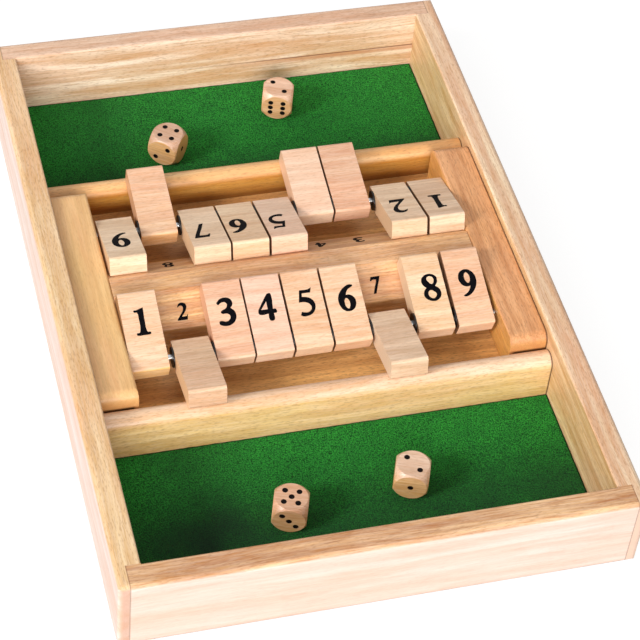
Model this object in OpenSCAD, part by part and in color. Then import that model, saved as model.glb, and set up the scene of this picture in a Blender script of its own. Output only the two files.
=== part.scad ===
// Two-player shut the box game.
// A shallow hardwood tray has a felted dice tray at each end and, in the
// middle, a row of nine numbered tiles for each player. Every tile turns on a
// steel rod and rests either on the numbered ridge, open, or on its player's
// crossbar, shut. X runs along the rows, Y from the near player to the far
// one, Z is up, and the origin is the centre of the underside.

/* [Tray] */
// Overall width, across the side boards
box_w = 240; // [236:1:260]
// Overall length, over the end boards
box_l = 352; // [340:1:400]
// Overall height
box_h = 42; // [40:0.5:50]
// Thickness of the four frame boards
board_t = 12; // [12:0.5:13]
// Thickness left outside the rabbet that takes an end board
rabbet_lip = 5.1; // [4:0.1:5.5]
// Radius of the outer arrises
arris_r = 2.4; // [1:0.1:3]
// Radius of the arris along the inside of the rim
rim_r = 1; // [0.4:0.1:2]
// Thickness of the base panel
base_t = 6.5; // [4:0.5:8]
// Width of the rebate that takes the base panel
base_rebate = 6; // [4:0.5:6]
// Thickness of the felt in the dice trays
felt_t = 1.6; // [0.8:0.1:2]
// Thickness of the board under the tiles, laid on the base panel
floor_t = 9.2; // [8:0.1:10]

/* [Crossbars] */
// Thickness of a crossbar, whose top is a full half-round
crossbar_t = 10.6; // [10:0.1:12]
// Height of a crossbar's crown above the underside
crossbar_top = 31.3; // [30:0.1:33]
// Distance from the middle of the tray to the middle of the near crossbar
near_bar_y = 73.2; // [72:0.1:74.5]
// Distance from the middle of the tray to the middle of the far crossbar
far_bar_y = 75.9; // [75:0.1:77]

/* [Tiles] */
// Width of a tile along the rod
tile_w = 18; // [17:0.1:18]
// Length of a tile
tile_l = 41; // [39:0.5:42]
// Thickness of a tile
tile_t = 10.2; // [9.5:0.1:10.5]
// Distance from the rod to the tile's near end
tile_heel = 7; // [6:0.5:8]
// Radius of the four rounded arrises across a tile
tile_r = 1.5; // [1:0.1:3.2]
// Slack left between a resting tile and what it rests on
rest_gap = 0.03; // [0.02:0.01:0.2]
// Tiles that the near player has shut
near_shut = [2, 7];
// Tiles that the far player has shut
far_shut = [3, 4, 8];
// Extra room that play leaves before each near tile, from the left
near_slack = [0.2, 2.3, 0.6, 0, 0.2, 0.2, 0.5, 2.6, 1.1];
// Extra room that play leaves before each far tile, from the left
far_slack = [1.2, 1.6, 1.8, 0.1, 0.3, 1.2, 0.1, 2.6, 0.4];

/* [Rods and washers] */
// Diameter of a rod
rod_d = 3; // [2.5:0.1:3.5]
// Distance from the middle of the tray to a rod
rod_y = 42.1; // [41:0.1:43]
// Height of the rods above the underside
rod_z = 30.2; // [29.5:0.1:31]
// Depth of the blind holes that hold a rod's ends
rod_seat = 10; // [6:0.5:12]
// Radial clearance of a tile's bore on the rod
bore_clear = 0.06; // [0.03:0.01:0.09]
// Outer diameter of a washer
washer_d = 10; // [6:0.1:10]
// Thickness of a washer
washer_t = 0.7; // [0.4:0.1:0.7]
// Side clearance of a tile on its washer
washer_gap = 0.1; // [0.05:0.01:0.1]

/* [Ridge and side blocks] */
// Width of the flat on top of the ridge
ridge_flat = 12.2; // [11:0.1:13]
// Height of the ridge above the underside
ridge_top = 37.3; // [36.5:0.1:38]
// Slope of the numbered faces, in degrees
ridge_slope = 32; // [28:0.5:34]
// Width of the ridge at its foot
ridge_w = 44.8; // [42:0.2:47]
// Distance from the middle of the tray to a side block
block_x = 89.4; // [89.4:0.1:91]
// Height of the side blocks above the underside
block_top = 37.3; // [36:0.1:39]
// Gap between a side block and the near crossbar
block_gap = 0.1; // [0.1:0.1:2]
// Radius of the rounded ends of a side block
block_end_r = 5; // [3:0.1:7]
// Radius of a side block's arris beside the tiles
block_arris_r = 1.2; // [0.5:0.1:2]

/* [Dice] */
// Size of a die across its flats
die_s = 16; // [14:0.5:18]
// Radius of the ball that a die's corners are turned to
die_ball = 11; // [10.6:0.1:11.6]
// Diameter of a pip
pip_d = 2.8; // [2:0.1:3]
// Depth of a pip
pip_depth = 0.5; // [0.3:0.1:0.8]
// Distance from a face's middle lines to its outer pips
pip_off = 3.25; // [2.8:0.05:3.6]

/* [Hidden] */
$fn = 64;
in_x = box_w / 2 - board_t;            // inner faces of the side boards
in_y = box_l / 2 - board_t;            // inner faces of the end boards
lip_x = box_w / 2 - rabbet_lip;        // where an end board stops
felt_top = base_t + felt_t;
floor_top = base_t + floor_t;
bar_r = crossbar_t / 2;
bar_c = crossbar_top - bar_r;          // height of the crown's centre
block_y = near_bar_y - bar_r - block_gap; // ends of the side blocks
toe = tile_l - tile_heel;              // from the rod to the tile's far end
pitch_gap = washer_t + 2 * washer_gap; // least gap between two tiles
pip_ball = (pip_d * pip_d / 4 + pip_depth * pip_depth) / (2 * pip_depth);

// A shut tile lies flat on the crossbar's crown: the crown's centre is half a
// tile and one radius away from the plane through the middle of the tile.
function shut_a(bar_y) = let (run = bar_y - rod_y, drop = rod_z - bar_c)
    asin((tile_t / 2 + bar_r + rest_gap) / norm([run, drop])) - atan2(drop, run);

// An open tile lies with the rounded arris of its toe on the ridge's slope:
// the arris's centre is its own radius away from the plane of the slope.
open_a = let (
        lift = (rod_y - ridge_flat / 2) * sin(ridge_slope)
             + (rod_z - ridge_top) * cos(ridge_slope),
        arm = toe - tile_r,
        half = tile_t / 2 - tile_r)
    ridge_slope + asin((tile_r + rest_gap - lift) / norm([arm, half]))
    + atan2(half, arm);

// Left side of place i of a row, counted from 0 at the left-hand block.
function slack_to(s, i) = i < 0 ? 0 : s[i] + slack_to(s, i - 1);
function place_x(s, i) = -block_x + i * (tile_w + pitch_gap) + slack_to(s, i);
function has(list, n) = len([for (v = list) if (v == n) v]) > 0;

// Where each die lies, how far it is turned about Z, and which way up it is.
DICE = [
    [[-37.6, 114.5], -36, [0, 90, 0]],
    [[27.0, 139.4], -18, [-90, 0, 0]],
    [[-31.8, -128.2], -19, [90, 0, -90]],
    [[27.5, -120.3], -20.5, [-90, 0, 180]]
];

// Each face of a die: its normal, and its pips in steps of pip_off. Opposite
// faces add up to seven.
PIPS = [
    [[0, 0, 1], [[0, 0, 0]]],
    [[0, -1, 0], [[-1, 0, 1], [1, 0, -1]]],
    [[1, 0, 0], [[0, 1, 1], [0, 0, 0], [0, -1, -1]]],
    [[-1, 0, 0], [for (a = [-1, 1], b = [-1, 1]) [0, a, b]]],
    [[0, 1, 0], concat([[0, 0, 0]], [for (a = [-1, 1], b = [-1, 1]) [a, 0, b]])],
    [[0, 0, -1], [for (a = [-1, 1], b = [-1, 0, 1]) [a, b, 0]]]
];

// ---- Cutters that round an arris ------------------------------------------

// Section of the cutter: what is left outside a quarter round at the origin.
module arris_section(r) {
    difference() {
        translate([-r, -r])
            square(r + 1);
        translate([-r, -r])
            circle(r);
    }
}

// Along +X, with the wood on the -Y, -Z side.
module arris_x(len, r) {
    rotate([90, 0, 90])
        linear_extrude(len)
            arris_section(r);
}

// Along +Y, with the wood on the -X, -Z side.
module arris_y(len, r) {
    translate([0, len, 0])
        rotate([90, 0, 0])
            linear_extrude(len)
                arris_section(r);
}

// Along +Z, with the wood on the -X, -Y side.
module arris_z(len, r) {
    linear_extrude(len)
        arris_section(r);
}

// ---- Tray -----------------------------------------------------------------

// Right-hand side board: full length, rabbeted at both ends to take the end
// boards and rebated underneath to take the base panel.
module side_board() {
    difference() {
        translate([in_x, -box_l / 2, 0])
            cube([board_t, box_l, box_h]);
        translate([in_x - 1, -in_y, -1])
            cube([base_rebate + 1, 2 * in_y, base_t + 1]);
        translate([in_x, -in_y, box_h])
            mirror([1, 0, 0])
                arris_y(2 * in_y, rim_r);
        for (top = [0, 1])
            translate([box_w / 2, -box_l / 2 - 1, top * box_h])
                mirror([0, 0, 1 - top])
                    arris_y(box_l + 2, arris_r);
        for (s = [0, 1])
            mirror([0, s, 0]) {
                translate([in_x - 1, in_y, -1])
                    cube([board_t - rabbet_lip + 1, board_t + 1, box_h + 2]);
                translate([box_w / 2, box_l / 2, -1])
                    arris_z(box_h + 2, arris_r);
                for (top = [0, 1])
                    translate([lip_x - 1, box_l / 2, top * box_h])
                        mirror([0, 0, 1 - top])
                            arris_x(rabbet_lip + 2, arris_r);
            }
    }
}

// Far end board: its ends sit in the rabbets of the side boards.
module end_board() {
    difference() {
        translate([-lip_x, in_y, 0])
            cube([2 * lip_x, board_t, box_h]);
        translate([-in_x - base_rebate, in_y - 1, -1])
            cube([2 * (in_x + base_rebate), base_rebate + 1, base_t + 1]);
        translate([-in_x, in_y, box_h])
            mirror([0, 1, 0])
                arris_x(2 * in_x, rim_r);
        for (top = [0, 1])
            translate([-lip_x - 1, box_l / 2, top * box_h])
                mirror([0, 0, 1 - top])
                    arris_x(2 * lip_x + 2, arris_r);
    }
}

module left_side() {
    color([0.87, 0.70, 0.50])
        mirror([1, 0, 0])
            side_board();
}

module right_side() {
    color([0.87, 0.70, 0.50])
        side_board();
}

module near_end() {
    color([0.90, 0.74, 0.54])
        mirror([0, 1, 0])
            end_board();
}

module far_end() {
    color([0.90, 0.74, 0.54])
        end_board();
}

// Panel let into the rebate, flush with the underside of the frame.
module base_panel() {
    color([0.60, 0.42, 0.25])
        translate([-in_x - base_rebate, -in_y - base_rebate, 0])
            cube([2 * (in_x + base_rebate), 2 * (in_y + base_rebate), base_t]);
}

// Felt of the far dice tray, glued to the base panel from wall to wall.
module felt(bar_y) {
    color([0.11, 0.38, 0.15])
        translate([-in_x, bar_y + bar_r, base_t])
            cube([2 * in_x, in_y - bar_y - bar_r, felt_t]);
}

module near_felt() {
    mirror([0, 1, 0])
        felt(near_bar_y);
}

module far_felt() {
    felt(far_bar_y);
}

// Board that fills the floor from one crossbar to the other.
module middle_floor() {
    near_y = -near_bar_y + bar_r;
    color([0.66, 0.45, 0.25])
        translate([-in_x, near_y, base_t])
            cube([2 * in_x, far_bar_y - bar_r - near_y, floor_t]);
}

// Crossbar between a dice tray and the tiles; shut tiles lie on its crown.
module crossbar(bar_y) {
    color([0.85, 0.67, 0.45])
        translate([-in_x, bar_y, 0])
            rotate([90, 0, 90])
                linear_extrude(2 * in_x) {
                    translate([-bar_r, base_t])
                        square([crossbar_t, bar_c - base_t]);
                    translate([0, bar_c])
                        circle(bar_r);
                }
}

module near_crossbar() {
    mirror([0, 1, 0])
        crossbar(near_bar_y);
}

module far_crossbar() {
    crossbar(far_bar_y);
}

// ---- Middle ---------------------------------------------------------------

// Right-hand side block: it closes the ends of both rows and holds the rods
// in blind holes. Its top arrises are rounded at both ends.
module side_block() {
    color([0.82, 0.62, 0.42])
        difference() {
            translate([block_x, -block_y, floor_top])
                cube([in_x - block_x, 2 * block_y, block_top - floor_top]);
            for (s = [0, 1])
                mirror([0, s, 0]) {
                    translate([block_x - 1, block_y, block_top])
                        arris_x(in_x - block_x + 2, block_end_r);
                    translate([block_x - 1, rod_y, rod_z])
                        rotate([0, 90, 0])
                            cylinder(h = rod_seat + 1, d = rod_d);
                }
            translate([block_x, -block_y - 1, block_top])
                mirror([1, 0, 0])
                    arris_y(2 * block_y + 2, block_arris_r);
        }
}

module left_block() {
    mirror([1, 0, 0])
        side_block();
}

module right_block() {
    side_block();
}

// Ridge between the rows. Its two slopes carry the numbers that show when a
// tile is shut, and stop the open tiles.
module number_ridge() {
    half = ridge_w / 2;
    flat = ridge_flat / 2;
    eaves = ridge_top - (half - flat) * tan(ridge_slope);
    color([0.80, 0.60, 0.41])
        translate([-block_x, 0, 0])
            rotate([90, 0, 90])
                linear_extrude(2 * block_x)
                    polygon([[-half, floor_top], [half, floor_top], [half, eaves],
                             [flat, ridge_top], [-flat, ridge_top], [-half, eaves]]);
}

// ---- Rods and washers -----------------------------------------------------

// Steel rod of the far row, seated in both side blocks.
module rod() {
    color([0.75, 0.75, 0.76])
        translate([-block_x - rod_seat, rod_y, rod_z])
            rotate([0, 90, 0])
                cylinder(h = 2 * (block_x + rod_seat), d = rod_d);
}

// One washer in every gap of a row, against the tile on its right.
module washers(slack) {
    color([0.70, 0.70, 0.71])
        for (i = [1 : 8])
            translate([place_x(slack, i) - washer_gap - washer_t, rod_y, rod_z])
                rotate([0, 90, 0])
                    difference() {
                        cylinder(h = washer_t, d = washer_d);
                        translate([0, 0, -1])
                            cylinder(h = washer_t + 2, d = rod_d);
                    }
}

module near_rod() {
    mirror([0, 1, 0])
        rod();
}

module far_rod() {
    rod();
}

module near_washers() {
    mirror([0, 1, 0])
        washers(near_slack);
}

module far_washers() {
    washers(far_slack);
}

// ---- Tiles ----------------------------------------------------------------

// A tile with its rod along X at the origin. Its toe points along +Y and its
// numbered face is up.
module tile() {
    bore = rod_d + 2 * bore_clear;
    difference() {
        rotate([90, 0, 90])
            linear_extrude(tile_w)
                tile_section();
        translate([-1, 0, 0])
            rotate([0, 90, 0])
                cylinder(h = tile_w + 2, d = bore);
    }
}

// Section of a tile: a bar with its four arrises rounded.
module tile_section() {
    half = tile_t / 2;
    translate([-tile_heel, -half + tile_r])
        square([tile_l, tile_t - 2 * tile_r]);
    translate([-tile_heel + tile_r, -half])
        square([tile_l - 2 * tile_r, tile_t]);
    for (y = [-tile_heel + tile_r, toe - tile_r], z = [-half + tile_r, half - tile_r])
        translate([y, z])
            circle(tile_r);
}

// A tile of the near row, tilted to where it rests.
module near_tile(n) {
    shut = has(near_shut, n);
    color(shut ? [0.84, 0.70, 0.57] : [0.94, 0.80, 0.64])
        translate([place_x(near_slack, n - 1), -rod_y, rod_z])
            rotate([shut ? 180 - shut_a(near_bar_y) : open_a, 0, 0])
                tile();
}

// A tile of the far row. That row is numbered from the right.
module far_tile(n) {
    shut = has(far_shut, n);
    color(shut ? [0.92, 0.74, 0.60] : [0.88, 0.74, 0.60])
        translate([place_x(far_slack, 9 - n), rod_y, rod_z])
            mirror([0, 1, 0])
                rotate([shut ? 180 - shut_a(far_bar_y) : open_a, 0, 0])
                    tile();
}

// ---- Dice -----------------------------------------------------------------

// A cube turned down to a ball at its corners and edges, with pitted pips.
module die(d) {
    color([0.88, 0.70, 0.50])
        translate([d[0][0], d[0][1], felt_top + rest_gap + die_s / 2])
            rotate([0, 0, d[1]])
                rotate(d[2])
                    difference() {
                        intersection() {
                            cube(die_s, center = true);
                            sphere(die_ball);
                        }
                        for (f = PIPS, p = f[1])
                            translate(f[0] * (die_s / 2 + pip_ball - pip_depth) + p * pip_off)
                                sphere(pip_ball);
                    }
}

left_side();
right_side();
near_end();
far_end();
base_panel();
near_felt();
far_felt();
middle_floor();
near_crossbar();
far_crossbar();
left_block();
right_block();
number_ridge();
near_rod();
far_rod();
near_washers();
far_washers();
near_tile(1);  // near_tile_1
near_tile(2);  // near_tile_2
near_tile(3);  // near_tile_3
near_tile(4);  // near_tile_4
near_tile(5);  // near_tile_5
near_tile(6);  // near_tile_6
near_tile(7);  // near_tile_7
near_tile(8);  // near_tile_8
near_tile(9);  // near_tile_9
far_tile(1);  // far_tile_1
far_tile(2);  // far_tile_2
far_tile(3);  // far_tile_3
far_tile(4);  // far_tile_4
far_tile(5);  // far_tile_5
far_tile(6);  // far_tile_6
far_tile(7);  // far_tile_7
far_tile(8);  // far_tile_8
far_tile(9);  // far_tile_9
die(DICE[0]);  // die_1
die(DICE[1]);  // die_2
die(DICE[2]);  // die_3
die(DICE[3]);  // die_4
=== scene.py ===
"""Looks of a two-player shut the box game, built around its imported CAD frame.

Metres, +Z up, X along the rows of tiles, Y from the near player to the far one.
Sizes named _MM are in millimetres and are turned to metres where they are used.
"""
import math

import bmesh
import bpy
from mathutils import Euler, Matrix, Vector, noise


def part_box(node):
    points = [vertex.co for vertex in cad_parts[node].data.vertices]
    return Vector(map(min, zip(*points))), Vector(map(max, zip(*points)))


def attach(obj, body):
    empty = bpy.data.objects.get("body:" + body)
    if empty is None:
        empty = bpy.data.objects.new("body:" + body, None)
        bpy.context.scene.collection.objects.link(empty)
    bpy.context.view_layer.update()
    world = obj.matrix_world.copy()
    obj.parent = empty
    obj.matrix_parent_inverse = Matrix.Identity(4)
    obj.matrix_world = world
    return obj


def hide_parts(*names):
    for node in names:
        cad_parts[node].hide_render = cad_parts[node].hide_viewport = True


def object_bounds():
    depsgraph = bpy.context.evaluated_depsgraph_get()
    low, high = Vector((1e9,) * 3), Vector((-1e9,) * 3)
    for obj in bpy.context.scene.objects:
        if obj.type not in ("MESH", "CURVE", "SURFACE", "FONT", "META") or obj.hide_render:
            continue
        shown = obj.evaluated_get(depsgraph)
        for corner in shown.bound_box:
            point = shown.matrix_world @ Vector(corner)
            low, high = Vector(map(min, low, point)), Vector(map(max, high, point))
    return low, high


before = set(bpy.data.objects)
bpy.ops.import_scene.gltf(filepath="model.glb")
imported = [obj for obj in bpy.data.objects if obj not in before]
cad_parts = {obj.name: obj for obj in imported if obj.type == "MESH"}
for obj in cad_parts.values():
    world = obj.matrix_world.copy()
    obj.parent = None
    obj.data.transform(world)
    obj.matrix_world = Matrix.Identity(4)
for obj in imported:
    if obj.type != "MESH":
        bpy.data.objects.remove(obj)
cad_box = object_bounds()

MM = 0.001

# ---- Camera, light and floor ----------------------------------------------

SENSOR_MM = 36.0
LENS_MM = 129.2
CAMERA_AT = Vector((-0.2350, -0.73337, 0.83524))
CAMERA_AZIMUTH = -18.92
CAMERA_ELEVATION = 47.35
CAMERA_ROLL = 6.24

# Name, degrees round from the front towards the left, degrees up, width in metres, watts and colour.
SOFTBOXES = [
    ("left_softbox", 70, 31, 1.0, 110.0, "FFFDFA"),
    ("front_left_softbox", 20, 25, 1.4, 78.0, "FFFDFA"),
    ("front_softbox", 0, 22, 1.4, 56.0, "FFFDFA"),
]
SOFTBOX_DISTANCE = 4.0
WORLD_STRENGTH = 0.43
FLOOR_SIZE = 9.0
FLOOR_DROP = 0.0002    # keeps the floor's surface just off the underside
FLOOR_GLOW = 0.83
FLOOR_TONE = "8C8C8C"  # what the lamps light; the glow adds the rest of the white


def linear(hex_colour):
    """An sRGB hex colour as the linear RGBA that shaders and lamps take."""
    parts = [int(hex_colour[i:i + 2], 16) / 255 for i in (0, 2, 4)]
    return [c / 12.92 if c <= 0.04045 else ((c + 0.055) / 1.055) ** 2.4 for c in parts] + [1.0]


def add(tree, kind, inputs=None, **settings):
    """Adds one node: its settings first, then its inputs, each a value or the output that feeds it."""
    node = tree.nodes.new(kind)
    for name, value in settings.items():
        setattr(node, name, value)
    for key, value in (inputs or {}).items():
        if isinstance(value, bpy.types.NodeSocket):
            tree.links.new(value, node.inputs[key])
        else:
            node.inputs[key].default_value = value
    return node


def new_tree(holder):
    """Empties the holder's shader tree and returns it."""
    holder.use_nodes = True
    holder.node_tree.nodes.clear()
    return holder.node_tree


def new_object(name, data):
    """A new object of that name in the scene."""
    made = bpy.data.objects.new(name, data)
    bpy.context.scene.collection.objects.link(made)
    return made


def baked(maker):
    """The plain mesh that an object's curve or modifiers come to. The object itself is removed."""
    graph = bpy.context.evaluated_depsgraph_get()
    mesh = bpy.data.meshes.new_from_object(maker.evaluated_get(graph))
    bpy.data.objects.remove(maker)
    return mesh


def make_camera():
    """A long lens in front of the near player and above, turned a little round its own axis."""
    azimuth, elevation, roll = (
        math.radians(a) for a in (CAMERA_AZIMUTH, CAMERA_ELEVATION, CAMERA_ROLL)
    )
    back = Vector((
        math.sin(azimuth) * math.cos(elevation),
        -math.cos(azimuth) * math.cos(elevation),
        math.sin(elevation),
    ))
    level = Vector((0, 0, 1)).cross(back).normalized()
    rise = back.cross(level)
    right = math.cos(roll) * level + math.sin(roll) * rise
    up = back.cross(right)
    camera = new_object("camera", bpy.data.cameras.new("camera"))
    camera.data.sensor_width = SENSOR_MM
    camera.data.lens = LENS_MM
    camera.data.clip_start = 0.05
    camera.data.clip_end = 50
    camera.matrix_world = Matrix.Translation(CAMERA_AT) @ Matrix((right, up, back)).transposed().to_4x4()
    bpy.context.scene.camera = camera


def make_softboxes():
    """Three big soft lamps round the front and left, all aimed at the middle of the game."""
    target = (cad_box[0] + cad_box[1]) / 2
    for name, round_left, up, size, power, colour in SOFTBOXES:
        lamp = bpy.data.lights.new(name, "AREA")
        lamp.size = size
        lamp.energy = power
        lamp.color = linear(colour)[:3]
        box = new_object(name, lamp)
        away = Euler((-math.radians(up), 0, -math.radians(round_left))).to_matrix() @ Vector((0, -1, 0))
        box.location = target + away * SOFTBOX_DISTANCE
        box.rotation_euler = away.to_track_quat("Z", "Y").to_euler()


def seen_directly(tree):
    """1 for a ray that shows the backdrop to the camera, straight, mirrored or through glass."""
    path = add(tree, "ShaderNodeLightPath").outputs
    seen = path["Is Camera Ray"]
    for ray in ("Is Glossy Ray", "Is Transmission Ray"):
        seen = add(tree, "ShaderNodeMath", {0: seen, 1: path[ray]}, operation="MAXIMUM").outputs[0]
    return seen


def make_world():
    """A white studio: an even soft light that reads as white paper where it is seen."""
    world = bpy.data.worlds.new("white_studio")
    tree = new_tree(world)
    strength = add(tree, "ShaderNodeMapRange", {
        "Value": seen_directly(tree), "To Min": WORLD_STRENGTH, "To Max": 1.0,
    })
    light = add(tree, "ShaderNodeBackground", {
        "Color": linear("FFFFFF"), "Strength": strength.outputs[0],
    })
    add(tree, "ShaderNodeOutputWorld", {"Surface": light.outputs[0]})
    bpy.context.scene.world = world


def make_floor():
    """White seamless paper. Its glow is for the camera only, so that the object's shadow stays on it."""
    paper = bpy.data.materials.new("white_studio_paper")
    tree = new_tree(paper)
    glow = add(tree, "ShaderNodeMath", {0: seen_directly(tree), 1: FLOOR_GLOW}, operation="MULTIPLY")
    shine = add(tree, "ShaderNodeEmission", {"Color": linear("FFFFFF"), "Strength": glow.outputs[0]})
    matt = add(tree, "ShaderNodeBsdfDiffuse", {"Color": linear(FLOOR_TONE)})
    both = add(tree, "ShaderNodeAddShader", {0: matt.outputs[0], 1: shine.outputs[0]})
    add(tree, "ShaderNodeOutputMaterial", {"Surface": both.outputs[0]})
    half = FLOOR_SIZE / 2
    corners = [(-half, -half, 0), (half, -half, 0), (half, half, 0), (-half, half, 0)]
    mesh = bpy.data.meshes.new("studio_floor")
    mesh.from_pydata(corners, [], [(0, 1, 2, 3)])
    mesh.materials.append(paper)
    floor = new_object("studio_floor", mesh)
    floor.location.z = -FLOOR_DROP


# ---- Materials -------------------------------------------------------------

# Sockets of a Mix node that mixes colours: its share, its two colours, and its result.
SHARE, FIRST, SECOND, MIXED = 0, 6, 7, 2

# Euler turns that bring a board's grain onto the pattern's X axis.
GRAIN_X = Euler((0, 0, 0))
GRAIN_Y = Euler((0, 0, -math.pi / 2))
BOARD_SPREAD_MM = Vector((217, 61, 37))  # how far apart two boards lie in the solid pattern
WANDER_LENGTH_MM = (90, 26, 26)          # over what length the grain wanders
WANDER_REACH_MM = (0, 7, 7)              # and how far it does
# The patterns in the wood: the length and width of a dash in millimetres, where the noise starts to
# show and where it is full, and its detail. A vessel is really a fifth of a millimetre wide and fibre
# far less, so both are drawn as coarse as they have to be to show.
WOOD_PATTERNS = {
    "figure": (90, 5, 0.36, 0.64, 2.0),
    "line": (30, 1.0, 0.46, 0.66, 2.0),
    "fibre": (10, 0.7, 0.34, 0.66, 2.0),
    "vessel": (2.8, 0.42, 0.55, 0.66, 1.0),
    "warm": (60, 30, 0.40, 0.62, 1.0),
}
VESSEL_TONE = "96633A"
VESSEL_SINK = 1.6        # how much deeper a vessel cuts than the fibre stands up
FIBRE_SHARE = 0.18       # how far fibre goes towards the glint
FIBRE_GLOSS = 0.06       # how far it takes the roughness up and down
RING_MM = 5.0            # between two growth rings
WAVE_UNIT = 20           # a Wave texture of scale 1 repeats every tau / 20
HEART_MM = (13, 42)      # the heart of the log: how far aside of the game's middle, and how far under it
FACES_UP = (0.2, 0.6)    # where a face starts to count as looking up or down, and where it fully does
FACES_END = (0.6, 0.95)  # and the same for end grain
JOINT_CORE = 0.25        # share of a joint line's reach that is fully dark


def dress(node, material):
    """Gives a CAD node its finish."""
    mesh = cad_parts[node].data
    mesh.materials.clear()
    mesh.materials.append(material)


def dress_in_wood(node, turn, pale, deep, seed, finish="lacquered_rubberwood", rings=0.35, pores=0.35,
                  streak=0.55, rough=0.42, tint="F3B591", blush=0.25, glint="FFF4E4", edge=None,
                  face_dashes=1.0, end_tone=None, end_share=0.55, right_tone=None, joints=()):
    """Gives a node its wood: rubberwood, planed and sanded, under clear satin lacquer.

    The eye gets straight soft streaks, faint growth rings, short dark pore dashes that run with the
    grain and turn to dots on end grain, a warm blush that drifts, and arrises that catch the light.
    The faces that look up or down may have their own pair of tones, partly for their edge grain and
    partly as painted light and shade that set a top apart from its sides; the other faces may have
    fewer dashes, and the right end a tone of its own. A line is its axis, its place and its reach in
    millimetres, its colour and its depth, and from where to where along X it fades in, if it does: some
    are thin dark joints where the board meets its neighbour, some painted shade where one part shades
    another.
    """
    material = bpy.data.materials.new(f"{finish}_{node}")
    tree = new_tree(material)
    coords = add(tree, "ShaderNodeTexCoord").outputs
    offset = BOARD_SPREAD_MM * seed
    place = add(tree, "ShaderNodeMapping", {
        "Vector": coords["Object"], "Location": offset, "Rotation": turn, "Scale": (1 / MM,) * 3,
    })
    wander = add(tree, "ShaderNodeMapping", {
        "Vector": place.outputs[0], "Scale": [1 / length for length in WANDER_LENGTH_MM],
    })
    drift = add(tree, "ShaderNodeTexNoise", {"Vector": wander.outputs[0], "Scale": 1.0, "Detail": 1.0})
    grain = add(tree, "ShaderNodeVectorMath", {
        0: drift.outputs["Color"], 1: WANDER_REACH_MM, 2: place.outputs[0],
    }, operation="MULTIPLY_ADD")

    pattern = {}
    for part, (length, width, starts, full, detail) in WOOD_PATTERNS.items():
        long = add(tree, "ShaderNodeMapping", {
            "Vector": grain.outputs[0], "Scale": (1 / length, 1 / width, 1 / width),
        })
        dash = add(tree, "ShaderNodeTexNoise", {
            "Vector": long.outputs[0], "Scale": 1.0, "Detail": detail,
        })
        pattern[part] = add(tree, "ShaderNodeMapRange", {
            "Value": dash.outputs["Fac"], "From Min": starts, "From Max": full,
        }).outputs[0]

    heart = (0, HEART_MM[0] - offset.y, HEART_MM[1] - offset.z)
    around = add(tree, "ShaderNodeVectorMath", {0: grain.outputs[0], 1: heart}, operation="ADD")
    ring = add(tree, "ShaderNodeTexWave", {
        "Vector": around.outputs[0], "Scale": math.tau / (WAVE_UNIT * RING_MM),
        "Distortion": 1.2, "Detail": 1.0, "Detail Scale": 0.3,
    }, wave_type="RINGS", rings_direction="X", wave_profile="SAW")
    late = add(tree, "ShaderNodeMapRange", {
        "Value": ring.outputs["Fac"], "From Min": 0.35, "From Max": 1.0, "To Max": rings,
    })

    def toward(base, colour, amount, most=1.0):
        """The base colour moved towards another by a pattern, at most that far."""
        share = add(tree, "ShaderNodeMath", {0: amount, 1: most}, operation="MULTIPLY")
        colour = linear(colour) if isinstance(colour, str) else colour
        return add(tree, "ShaderNodeMix", {
            SHARE: share.outputs[0], FIRST: base, SECOND: colour,
        }, data_type="RGBA").outputs[MIXED]

    # Face grain, and the sides that look up or down: their edge grain, and painted light and shade that
    # set a top apart from its sides.
    body = toward(linear(pale), deep, pattern["figure"])
    dark = linear(deep)
    if edge:
        level = add(tree, "ShaderNodeSeparateXYZ", {0: coords["Normal"]})
        flat = add(tree, "ShaderNodeMath", {0: level.outputs[2]}, operation="ABSOLUTE")
        turned = add(tree, "ShaderNodeMapRange", {
            "Value": flat.outputs[0], "From Min": FACES_UP[0], "From Max": FACES_UP[1],
        })
        # Tops and bottoms toned apart from the sides: edge grain, and painted light and shade.
        edge_grain_and_shade = toward(linear(edge[0]), edge[1], pattern["figure"])
        body = toward(body, edge_grain_and_shade, turned.outputs[0])
        dark = toward(dark, edge[1], turned.outputs[0])
        dashes = add(tree, "ShaderNodeMapRange", {"Value": turned.outputs[0], "To Min": face_dashes})
        for part in ("line", "vessel"):
            pattern[part] = add(tree, "ShaderNodeMath", {
                0: pattern[part], 1: dashes.outputs[0],
            }, operation="MULTIPLY").outputs[0]
    body = toward(body, tint, pattern["warm"], blush)
    body = toward(body, dark, late.outputs[0])
    body = toward(body, dark, pattern["line"], streak)
    body = toward(body, glint, pattern["fibre"], FIBRE_SHARE)
    body = toward(body, VESSEL_TONE, pattern["vessel"], pores)

    # End grain drinks the lacquer and looks deeper: faces square to the grain.
    facing = add(tree, "ShaderNodeVectorRotate", {
        "Vector": coords["Normal"], "Rotation": turn,
    }, rotation_type="EULER_XYZ")
    along = add(tree, "ShaderNodeSeparateXYZ", {0: facing.outputs[0]})
    square = add(tree, "ShaderNodeMath", {0: along.outputs[0]}, operation="ABSOLUTE")
    ends = [(square, end_tone or dark)]
    if right_tone:
        ends.append((along, right_tone))
    for towards, tone in ends:
        end = add(tree, "ShaderNodeMapRange", {
            "Value": towards.outputs[0], "From Min": FACES_END[0], "From Max": FACES_END[1],
        })
        body = toward(body, tone, end.outputs[0], end_share)

    # Dark joints, and painted shade where one part shades another, as thin lines.
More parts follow.
